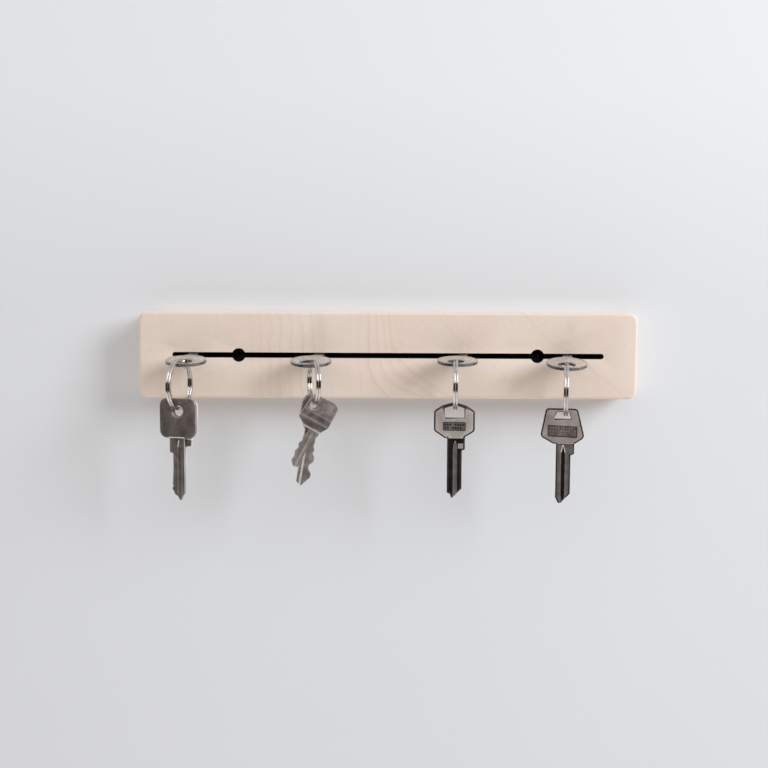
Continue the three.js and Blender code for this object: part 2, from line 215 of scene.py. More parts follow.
def wood(name, colour_share=1.0):
    """Pale birch: thin growth lines run up the block and lean over to its right, and its top and
    underside show end grain. A share below 1 keeps only that share of its own colour, the rest near-black."""
    s = Shader(name)
    x, y, z = s.split(s("TexCoord").outputs["Object"])
    line = growth_lines(s, x, y, z)
    cloud = s.pattern((26, 26, 14), 3.0, 0.55)
    fibre = s.pattern((1500, 700, 60), 3.0, 0.6)
    pores = s.pattern((3200, 1600, 220), 2.0)
    tone = s.total((line, 0.38), (cloud, 0.52), (fibre, 0.16))
    pale, mid, tan = (0.80, 0.69, 0.61), (0.755, 0.625, 0.54), (0.66, 0.52, 0.43)
    along = s.ramp(tone, [(0.22, pale), (0.46, mid), (0.95, tan)], True)
    grey = (0.50, 0.44, 0.39)
    along = s.mix(s.math("MULTIPLY", smudges(s, x, z, cloud), fibre), along, grey)
    end = s.ramp(s.level(), [(0.55, 0.0), (0.9, 1.0)])
    pale_end, dark_end = (0.765, 0.645, 0.56), (0.62, 0.485, 0.395)
    across = s.ramp(s.total((line, 0.35), (pores, 0.65)), [(0.25, pale_end), (0.85, dark_end)], True)
    colour = s.mix(end, along, across)
    speck = s.ramp(pores, [(0.60, 1.0), (0.76, 0.90)])
    colour = s.mix(1.0, colour, speck, "MULTIPLY")
    if colour_share < 1:
        colour = s.mix(1.0 - colour_share, colour, (0.006, 0.004, 0.005))
    rough = s.ramp(fibre, [(0.3, 0.50), (0.75, 0.68)])
    relief = s.bump(fibre, 0.22, 0.0001)
    relief = s.bump(line, 0.12, 0.00008, relief)
    relief = s.bump(pores, 0.2, 0.00004, relief)
    return s.surface(Base_Color=colour, Roughness=rough, Normal=relief,
                     Specular_IOR_Level=0.32 if colour_share == 1 else 0.1)


def acrylic(name, least_shade=0.0, most_shade=0.25):
    """Clear sheet: handling scratches on the faces and fine upright tool marks on the cut edge, which
    is shaded dark in patches from least_shade to most_shade."""
    s = Shader(name)
    edge = s.ramp(s.level(), [(0.35, 1.0), (0.8, 0.0)])
    marks = s.pattern((2600, 2600, 120), 2.0)
    scuff = s.pattern((420, 90, 300), 5.0, 0.65, 0.6, turn=34)
    hair = s.ramp(s.pattern((1800, 60, 800), 3.0, turn=-28), [(0.60, 0.0), (0.68, 1.0)])
    rough = s.ramp(scuff, [(0.40, 0.06), (0.72, 0.26)])
    rough = s.mix(s.math("MULTIPLY", edge, 0.8), rough, (0.30, 0.30, 0.30))
    rough = s.mix(s.math("MULTIPLY", hair, 0.5), rough, (0.45, 0.45, 0.45))
    tint = s.mix(scuff, (0.92, 0.90, 0.88), (0.80, 0.785, 0.77))
    patches = s.ramp(s.pattern((260, 260, 260), 2.0), [(0.42, least_shade), (0.60, most_shade)])
    shaded = s.math("MULTIPLY", edge, patches)
    tint = s.mix(shaded, tint, (0.045, 0.038, 0.038))
    clear = s.map_range(shaded, 0.0, 1.0, 0.88, 0.15)
    relief = s.bump(s.math("MULTIPLY", marks, edge), 0.5, 0.00006)
    relief = s.bump(scuff, 0.12, 0.00008, relief)
    return s.surface(Base_Color=tint, Roughness=rough, Normal=relief, IOR=1.49, Transmission_Weight=clear)


BRUSHED = (260, 260, 2600)


def metal(name, bright, dark, rough, metallic=1.0, wear_and_sheen=0.35, streaks=0.25):
    """Plated metal with clouding, fine scratches, grime in low places and brighter edges, rubbed and, on the
    satin finish, also lightened as a painted highlight.
    """
    s = Shader(name)
    cloud = s.pattern((150, 150, 150), 5.0, 0.62, 0.4)
    grain = s.pattern(BRUSHED, 3.0, 0.6)
    fleck = s.pattern((1500, 1500, 1500), 2.0)
    tone = s.total((cloud, 0.6), (grain, 0.4))
    colour = s.mix(s.ramp(tone, [(0.36, 0.0), (0.64, 1.0)]), dark, bright)
    rub_and_sheen = s("Attribute", attribute_name="wear_and_sheen").outputs["Fac"]
    rub_and_sheen = s.math("MULTIPLY", rub_and_sheen, s.ramp(fleck, [(0.35, wear_and_sheen), (0.6, 1.3 * wear_and_sheen)]), True)
    lighter = tuple(min(1.0, 0.35 + 0.75 * c) for c in bright)
    colour = s.mix(rub_and_sheen, colour, lighter)
    low = s("Attribute", attribute_name="low").outputs["Fac"]
    grime = s.math("MULTIPLY", low, s.ramp(cloud, [(0.3, 0.75), (0.7, 0.45)]), True)
    colour = s.mix(grime, colour, tuple(0.35 * c for c in dark))
    roughness = s.ramp(tone, [(0.3, rough * 0.75), (0.7, min(1.0, rough * 1.35))])
    relief = s.bump(grain, streaks, 0.00003)
    relief = s.bump(fleck, 0.5 * streaks, 0.00002, relief)
    return s.surface(Base_Color=colour, Roughness=roughness, Metallic=metallic, Normal=relief)


MATERIALS = {
    "birch": wood("birch"),
    # Wood darkened nearly to black for the slot's mouth, channel and screw holes.
    "slot_black": wood("slot_black", 0.03),
    "acrylic": acrylic("acrylic"),
    "acrylic_edge": acrylic("acrylic_edge", 0.85, 1.0),
    "chrome": metal("chrome", (0.74, 0.705, 0.685), (0.38, 0.35, 0.335), 0.12, streaks=0.06, wear_and_sheen=0.1),
    "screw_black": metal("screw_black", (0.055, 0.05, 0.05), (0.03, 0.027, 0.028), 0.42, 0.6, wear_and_sheen=0.12),
    "pin_steel": metal("pin_steel", (0.74, 0.74, 0.74), (0.62, 0.62, 0.62), 0.22),
    "graphite": metal("graphite", (0.285, 0.25, 0.24), (0.155, 0.132, 0.128), 0.38, 0.75),
    "umber": metal("umber", (0.36, 0.305, 0.285), (0.16, 0.132, 0.125), 0.38, 0.7),
    # Painted highlight: satin lightens strongly along the window key's outline, over a wide band, where its
    # rounded head catches the light; the narrow rubbing at the edge is real wear.
    "satin": metal("satin", (0.62, 0.545, 0.51), (0.44, 0.385, 0.355), 0.34, 0.5, wear_and_sheen=0.95),
    "warm_satin": metal("warm_satin", (0.56, 0.495, 0.46), (0.42, 0.37, 0.345), 0.38, 0.55),
    "milled": metal("milled", (0.40, 0.375, 0.375), (0.24, 0.22, 0.22), 0.13, wear_and_sheen=0.15),
    "milled_grey": metal("milled_grey", (0.40, 0.36, 0.345), (0.24, 0.21, 0.20), 0.32, 0.72, wear_and_sheen=0.2),
    "lit_nickel": metal("lit_nickel", (0.92, 0.87, 0.82), (0.78, 0.73, 0.69), 0.3, 0.5, wear_and_sheen=0.1),
    "pale_nickel": metal("pale_nickel", (0.62, 0.57, 0.535), (0.42, 0.375, 0.35), 0.32, 0.6),
    # Painted dark reflection and painted shade: near-black nickel for the rounded rims, sides and recess
    # flanks of the window and trapezoid keys, and the window key's knurl and eye surround.
    "painted_dark_nickel": metal("painted_dark_nickel", (0.05, 0.043, 0.045), (0.02, 0.016, 0.018), 0.4, 0.6, wear_and_sheen=0.0),
}


# ---------------------------------------------------------------- plane geometry

def arc(cx, cy, radius, start, end, steps):
    a = np.linspace(start, end, steps + 1)
    return np.stack([cx + radius * np.cos(a), cy + radius * np.sin(a)], 1)


def circle(radius, cx=0.0, cy=0.0, steps=48):
    return arc(cx, cy, radius, 0, 2 * math.pi, steps)[:-1]


def rounded(corners, steps=6):
    """A closed outline through corners [x, y, radius], each rounded off as a quadratic curve."""
    points = []
    n = len(corners)
    for i, corner in enumerate(corners):
        here = np.array(corner[:2], float)
        radius = corner[2] if len(corner) > 2 else 0
        before = np.array(corners[i - 1][:2], float) - here
        after = np.array(corners[(i + 1) % n][:2], float) - here
        before, after = before / np.linalg.norm(before), after / np.linalg.norm(after)
        if radius == 0:
            points.append(here)
            continue
        reach = radius / math.tan(math.acos(max(-1, min(1, before @ after))) / 2)
        for t in np.linspace(0, 1, steps + 1):
            points.append((1 - t) ** 2 * (here + before * reach) + 2 * t * (1 - t) * here
                          + t * t * (here + after * reach))
    return anticlockwise(np.array(points))


def box(x0, x1, y0, y1):
    return np.array([(x0, y0), (x1, y0), (x1, y1), (x0, y1)], float)


def stadium(length, height, steps=24):
    r = height / 2
    reach = length / 2 - r
    return np.concatenate([arc(reach, 0, r, -math.pi / 2, math.pi / 2, steps),
                           arc(-reach, 0, r, math.pi / 2, 1.5 * math.pi, steps)])


def anticlockwise(loop):
    x, y = loop[:, 0], loop[:, 1]
    return loop if (x * np.roll(y, -1) - y * np.roll(x, -1)).sum() > 0 else loop[::-1]


def inset(loop, distance):
    """The anticlockwise loop moved inwards, or outwards where distance is negative."""
    edge = np.roll(loop, -1, 0) - loop
    edge /= np.linalg.norm(edge, axis=1)[:, None]
    normal = np.stack([-edge[:, 1], edge[:, 0]], 1)
    before = np.roll(normal, 1, 0)
    spread = np.maximum(1 + (normal * before).sum(1), 0.45)
    return loop + distance * (normal + before) / spread[:, None]


def within(points, loop):
    x, y = points[:, 0], points[:, 1]
    found = np.zeros(len(points), bool)
    for (x0, y0), (x1, y1) in zip(loop, np.roll(loop, -1, 0)):
        if y0 != y1:
            found ^= ((y0 > y) != (y1 > y)) & (x < (x1 - x0) * (y - y0) / (y1 - y0) + x0)
    return found


def distance(points, loop):
    start, run = loop[None], (np.roll(loop, -1, 0) - loop)[None]
    t = (((points[:, None] - start) * run).sum(-1) / (run * run).sum(-1)).clip(0, 1)
    return np.sqrt(((points[:, None] - start - t[..., None] * run) ** 2).sum(-1)).min(1)


TOUCH = 1e-4


def triangulate(loops, loose=None):
    """Triangles over the plane with every loop's sides kept as edges."""
    points, sides = [], []
    for loop in loops:
        first = len(points)
        points += [Vector(p) for p in loop]
        sides += [(first + i, first + (i + 1) % len(loop)) for i in range(len(loop))]
    if loose is not None:
        points += [Vector(p) for p in loose]
    found = delaunay_2d_cdt(points, sides, [], 0, TOUCH)
    return np.array([tuple(p) for p in found[0]]), [tuple(f) for f in found[2]]


def inside(points, faces, outer, holes):
    """The faces that lie inside outer and outside each hole, and their middles."""
    middle = np.array([points[list(f)].mean(0) for f in faces])
    keep = within(middle, outer)
    for hole in holes:
        keep &= ~within(middle, hole)
    return [f for f, k in zip(faces, keep) if k], middle[keep]


def fill(outer, holes):
    """Points and triangles of the area inside outer and outside each hole."""
    points, faces = triangulate([outer, *holes])
    return points, inside(points, faces, outer, holes)[0]


# ---------------------------------------------------------------- mesh building

def keep_own_place(mesh):
    """Keeps each point's place in its own piece's frame, where the materials' patterns lie."""
    spots = np.empty(3 * len(mesh.vertices), np.float32)
    mesh.vertices.foreach_get("co", spots)
    mesh.attributes.new("own_place", "FLOAT_VECTOR", "POINT").data.foreach_set("vector", spots)


MERGE, SLIVER = 2e-6, 1e-7


class Builder:
    """Collects points in millimetres and faces, then makes one closed, smoothly shaded piece."""

    def __init__(self, *materials):
        self.materials = materials
        self.points, self.faces, self.slots = [], [], []
        self.values = {"wear_and_sheen": [], "low": []}

    def add(self, points, faces, material=0, wear_and_sheen=None, low=None):
        first = sum(len(p) for p in self.points)
        points = np.asarray(points, float)
        self.points.append(points)
        self.faces += [tuple(first + i for i in f) for f in faces]
        self.slots += [material] * len(faces) if isinstance(material, int) else list(material)
        for key, given in (("wear_and_sheen", wear_and_sheen), ("low", low)):
            self.values[key].append(np.zeros(len(points)) if given is None else np.asarray(given, float))

    def strip(self, rows, material=0):
        """Quads between rows of points; each row is a loop."""
        rows = [np.asarray(r, float) for r in rows]
        n = len(rows[0])
        faces = [(k * n + i, k * n + (i + 1) % n, (k + 1) * n + (i + 1) % n, (k + 1) * n + i)
                 for k in range(len(rows) - 1) for i in range(n)]
        self.add(np.concatenate(rows), faces, material)

    def cap(self, *loops):
        """One flat face over each loop."""
        for loop in loops:
            self.add(loop, [tuple(range(len(loop)))])

    def piece(self, name, body, slot, replaces, place=None, sharp=32, weighted=False):
        points = np.concatenate(self.points)
        mesh = bpy.data.meshes.new(name)
        mesh.from_pydata((points * MM).tolist(), [], self.faces)
        mesh.polygons.foreach_set("material_index", self.slots)
        for key, parts in self.values.items():
            layer = mesh.attributes.new(key, "FLOAT", "POINT")
            layer.data.foreach_set("value", np.concatenate(parts).astype(np.float32))
        for each in self.materials:
            mesh.materials.append(MATERIALS[each])
        work = bmesh.new()
        work.from_mesh(mesh)
        bmesh.ops.remove_doubles(work, verts=work.verts, dist=MERGE)
        bmesh.ops.dissolve_degenerate(work, edges=work.edges, dist=SLIVER)
        loose = [v for v in work.verts if not v.link_faces]
        bmesh.ops.delete(work, geom=loose, context="VERTS")
        bmesh.ops.recalc_face_normals(work, faces=work.faces)
        work.to_mesh(mesh)
        work.free()
        mesh.shade_smooth()
        mesh.set_sharp_from_angle(angle=rad(sharp))
        keep_own_place(mesh)
        if place is not None:
            mesh.transform(place)
        piece = bpy.data.objects.new(name, mesh)
        bpy.context.scene.collection.objects.link(piece)
        if weighted:
            modifier = piece.modifiers.new("weighted", "WEIGHTED_NORMAL")
            modifier.keep_sharp = True
        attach(piece, body)
        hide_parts(*replaces)


def front(loop, y):
    """A front-view loop (x, z) at the depth y."""
    return np.stack([loop[:, 0], np.full(len(loop), float(y)), loop[:, 1]], 1)


def flat(loop, z):
    """A loop (x, y) at the height z."""
    return np.stack([loop[:, 0], loop[:, 1], np.full(len(loop), float(z))], 1)


def lathe(profile, steps):
    """Rows of a piece turned about Z from [radius, z] points."""
    a = np.linspace(0, 2 * math.pi, steps, endpoint=False)
    return [np.stack([r * np.cos(a), r * np.sin(a), np.full(steps, float(z))], 1) for r, z in profile]


def rounding(radius, steps):
    """How far in and how far down a rounded edge lies, from its side to its top."""
    turns = [math.pi / 2 * k / steps for k in range(steps + 1)]
    return [(radius * (1 - math.cos(a)), radius * (1 - math.sin(a))) for a in turns]


# ---------------------------------------------------------------- the block

low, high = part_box("wood_block")
WIDTH, DEPTH, HEIGHT = [round((b - a) / MM, 2) for a, b in zip(low, high)]
CORNER, ROUND = 6, 1.8
SLOT_LENGTH, MOUTH, LIP, CHANNEL, CHANNEL_DEPTH = 255, 2.8, 2.5, 7.7, 8
ENTRY_X = 88.4
FLOOR = -(DEPTH - LIP - CHANNEL_DEPTH)
LIP_BACK = -(DEPTH - LIP)
EASE = 0.2
ENTRY_RADIUS = CHANNEL / 2 - 0.02
SCREW_PLACES = (-ENTRY_X, ENTRY_X)
SCREW_HEAD, SCREW_SEAT = 3.6, 0.4
COUNTERSINK, SCREW_HOLE, SCREW_EXIT = SCREW_HEAD + 0.2, 2.3, 2.6
COUNTERSINK_END, EXIT_EASE = FLOOR + 3.1, 0.3


def slot_loop():
    """The slot's mouth and its two entry holes as one outline."""
    h = MOUTH / 2
    reach = SLOT_LENGTH / 2 - h
    a = math.asin(h / ENTRY_RADIUS)
    upper = [arc(x, 0, ENTRY_RADIUS, a, math.pi - a, 24) for x in (ENTRY_X, -ENTRY_X)]
    lower = [arc(x, 0, ENTRY_RADIUS, math.pi + a, 2 * math.pi - a, 24) for x in (-ENTRY_X, ENTRY_X)]
    right = arc(reach, 0, h, -math.pi / 2, math.pi / 2, 20)
    left = arc(-reach, 0, h, math.pi / 2, 1.5 * math.pi, 20)
    return np.concatenate([right, *upper, left, *lower])


def make_block():
    w, h = WIDTH / 2, HEIGHT / 2
    outline = rounded([(-w, -h, CORNER), (w, -h, CORNER), (w, h, CORNER), (-w, h, CORNER)], 14)
    build = Builder("birch", "slot_black")
    round_over = rounding(ROUND, 6)
    sides = [front(inset(outline, d), -drop) for d, drop in reversed(round_over)]
    sides += [front(inset(outline, d), drop - DEPTH) for d, drop in round_over]
    build.strip(sides)
    slot = slot_loop()
    channel = stadium(SLOT_LENGTH - MOUTH + CHANNEL, CHANNEL)
    points, faces = fill(inset(outline, ROUND), [inset(slot, -EASE)])
    build.add(front(points, -DEPTH), faces)
    build.strip([front(inset(slot, -d), drop - DEPTH) for d, drop in reversed(rounding(EASE, 3))], 1)
    build.strip([front(slot, EASE - DEPTH), front(slot, LIP_BACK)], 1)
    points, faces = fill(channel, [slot])
    build.add(front(points, LIP_BACK), faces, 1)
    build.strip([front(channel, LIP_BACK), front(channel, FLOOR)], 1)
    points, faces = fill(channel, [circle(COUNTERSINK, x) for x in SCREW_PLACES])
    build.add(front(points, FLOOR), faces, 1)
    steps = [(COUNTERSINK, FLOOR), (COUNTERSINK, FLOOR + SCREW_SEAT), (SCREW_HOLE, COUNTERSINK_END),
             (SCREW_HOLE, -EXIT_EASE), (SCREW_EXIT, 0)]
    for x in SCREW_PLACES:
        build.strip([front(circle(r, x), y) for r, y in steps], 1)
    points, faces = fill(inset(outline, ROUND), [circle(SCREW_EXIT, x) for x in SCREW_PLACES])
    build.add(front(points, 0), faces)
    build.piece("block", "block", "wood", ["wood_block"])


# ---------------------------------------------------------------- relief plates

class Feature:
    """A recess between two loops: level at inner, flush at outer, with an optional run-out at its top."""

    def __init__(self, outer, inner, depth, material=None, runout=None, flank=None, grime=0.9):
        self.outer, self.inner, self.depth = outer, inner, depth
        self.material, self.runout, self.flank, self.grime = material, runout, flank, grime

    def drop(self, points):
        depth = np.full(len(points), float(self.depth))
        if self.runout:
            top, length = self.runout
            t = ((top - points[:, 1]) / length).clip(0, 1)
            depth *= np.sqrt(1 - (1 - t) ** 2)
        outside, inside_by = distance(points, self.outer), distance(points, self.inner)
        flank = outside / np.maximum(outside + inside_by, 1e-9)
        level = within(points, self.inner) | (inside_by < TOUCH)
        near = within(points, self.outer) & (outside > TOUCH)
        return depth * np.where(level, 1.0, np.where(near, flank, 0.0))

    def paint(self, middle, slots):
        """Gives the faces with these middles the recess's materials."""
        if self.material is not None:
            covered = within(middle, self.outer)
            slots = [self.material if i else s for i, s in zip(covered, slots)]
        if self.flank is not None:
            sloped = within(middle, self.outer) & ~within(middle, self.inner)
            if self.runout:
                sloped &= middle[:, 1] > self.runout[0] - self.runout[1]
            slots = [self.flank if i else s for i, s in zip(sloped, slots)]
        return slots


PAST_TIP, PAST_SIDE = -60, 30
GROOVE_TIP, GROOVE_GRIME = 0.9, 0.25


def lane(x, half, top, run):
    """The outline of a straight channel that ends in a pointed run-out at the top."""
    rise = [1, 0.75, 0.5, 0.3, 0.14, 0.04]
    right = [(x + half * t ** 0.6, top - run * t) for t in rise]
    left = [(x - half * t ** 0.6, top - run * t) for t in reversed(rise)]
    return np.array([(x - half, PAST_TIP), (x + half, PAST_TIP), *right, (x, top), *left])


def groove(x, width, top, depth, material, run=4.0, slope=0.3, lit=None):
    """A groove down the blade. lit is the material of the slopes along its run-out."""
    return Feature(lane(x, width / 2, top, run), lane(x, width / 2 - slope, top - GROOVE_TIP, run),
                   depth, material, (top, run), lit, GROOVE_GRIME)


def sunk(loop, depth, slope, material=None, flank=None, grime=0.9):
    return Feature(loop, inset(loop, slope), depth, material, None, flank, grime)


GRID_STEP = 1.1


def loose_points(outline, loops):
    """A square grid of points inside the outline that keeps off every loop."""
    x, y = np.meshgrid(*(np.arange(a, b, GRID_STEP) for a, b in zip(outline.min(0), outline.max(0))))
    grid = np.stack([x.ravel(), y.ravel()], 1)
    grid = grid[within(grid, outline)]
    for loop in loops:
        grid = grid[distance(grid, loop) > 0.35 * GRID_STEP]
    return grid


def plate_walls(points, faces, level):
    """The walls between a plate's two faces, along every side that only one triangle has."""
    users = {}
    for f in faces:
        for a, b in zip(f, f[1:] + f[:1]):
            users[frozenset((a, b))] = users.get(frozenset((a, b)), 0) + 1
    rim = [tuple(side) for side, count in users.items() if count == 1]
    used = sorted({i for side in rim for i in side})
    index = {v: i for i, v in enumerate(used)}
    n = len(used)
    walls = np.concatenate([np.stack([points[used, 0], s * level[used], points[used, 1]], 1)
                            for s in (-1, 1)])
    return walls, [(index[a], index[b], index[b] + n, index[a] + n) for a, b in rim]


def relief_plate(build, outline, eye, chamfer, features, edge, zone, rub_and_sheen_reach):
    """A key's plate with one eye and the same relief on both faces. zone(x, y) gives a face's
    material, edge rounds the outline, and the last argument is how far rubbing reaches in from it, together
    with a painted highlight on the window key."""
    loops = [inset(outline, d) for d, _ in rounding(edge, 3)]
    loops += [eye, inset(eye, -chamfer / 2), inset(eye, -chamfer)]
    for each in features:
        loops += [each.outer, each.inner]
    points, faces = triangulate(loops, loose_points(outline, loops))
    faces, middle = inside(points, faces, outline, [eye])
    to_outline, to_eye = distance(points, outline), distance(points, eye)
    gap = to_outline.clip(0, edge)
    drop = edge - np.sqrt(np.maximum(edge ** 2 - (edge - gap) ** 2, 0))
    drop = np.maximum(drop, (chamfer * 0.8) * (1 - (to_eye / chamfer).clip(0, 1)) ** 1.4)
    # Rubbed edges near the outline and eye; with the window key's wide reach this is also a painted
    # highlight on its head.
    wear_and_sheen = np.maximum(np.exp(-to_outline / rub_and_sheen_reach), np.exp(-to_eye / EYE_POLISH))
    low_places = np.zeros(len(points))
    for each in features:
        sink = each.drop(points)
        drop = drop + sink
        low_places = np.maximum(low_places, (sink / each.depth).clip(0, 1) * each.grime)
    slots = [zone(*m) for m in middle]
    for each in features:
        slots = each.paint(middle, slots)
    # Rounded-off edges and the eye's chamfer take the RIM finish, painted near-black as a dark reflection on
    # the window and trapezoid keys.
    rounded_off = distance(middle, outline) < 0.85 * edge
    rounded_off |= distance(middle, eye) < 0.8 * chamfer
    slots = [RIM if r and s in (HEAD, BLADE) else s for r, s in zip(rounded_off, slots)]
    level = KEY_HALF - drop
    for side in (-1, 1):
        build.add(np.stack([points[:, 0], side * level, points[:, 1]], 1), faces, slots, wear_and_sheen, low_places)
    walls, wall_faces = plate_walls(points, faces, level)
    build.add(walls, wall_faces, SIDE, np.full(len(walls), SIDE_WEAR))


# ---------------------------------------------------------------- keys

WIRE_RADIAL, WIRE_AXIAL, WIRE_PITCH, WIRE_CORNER = 2.0, 1.3, 1.45, 0.35
WIRE_SHY = 0.06
CROSSING = rad(36)
FILED, FILED_SIZES = 0.35, [(0, 0.72), (0.4, 0.93), (1, 1.0)]
RING_STEPS, WIRE_END_AT = 260, 200
EYE_TOP = WIRE_RADIAL / 2 + 0.5
ROUND_EYE_TOP = EYE_TOP + 0.4
KEY_HALF = 1.05
EYE_POLISH, SIDE_WEAR = 0.4, 0.55
EDGE, POLISH = 0.32, 0.45
STEP_DEPTH, STEP_SLOPE, STEP_SIDES, STEP_END = 0.25, 0.45, (-40, 40), -70
LOZENGE_RISE, LOZENGE_SLOPE = 0.2, 0.14


def knurl(x, y, width, height, angle, columns, rows, material):
    """Rows of small raised lozenges left standing in a badge, with about one in five missing."""
    found = []
    for i in range(columns):
        for j in range(rows):
            if (i * 7 + j * 3) % 5 == 4:
                continue
            cx = x + (i - (columns - 1) / 2) * width / columns
            cy = y + (j - (rows - 1) / 2) * height / rows
            a, b = width / columns * 0.40, height / rows * 0.42
            loop = np.array([(-a, 0), (0, -b), (a, 0), (0, b)]) @ np.array(
                [[math.cos(angle), math.sin(angle)], [-math.sin(angle), math.cos(angle)]])
            loop = loop + (cx, cy)
            found.append(Feature(loop, inset(anticlockwise(loop), LOZENGE_SLOPE), -LOZENGE_RISE, material))
    return found


def blade(left, right, top, side, reach, bottom, end):
    """A blade's outline below its head, with one shoulder."""
    if side == "left":
        shoulder = [(left - reach, top), (left - reach, bottom + 0.8, 0.6), (left, bottom, 0.3)]
        return [*shoulder, *end, (right, top)]
    shoulder = [(right, bottom, 0.3), (right + reach, bottom + 0.8, 0.6), (right + reach, top)]
    return [(left, top), *end, *shoulder]


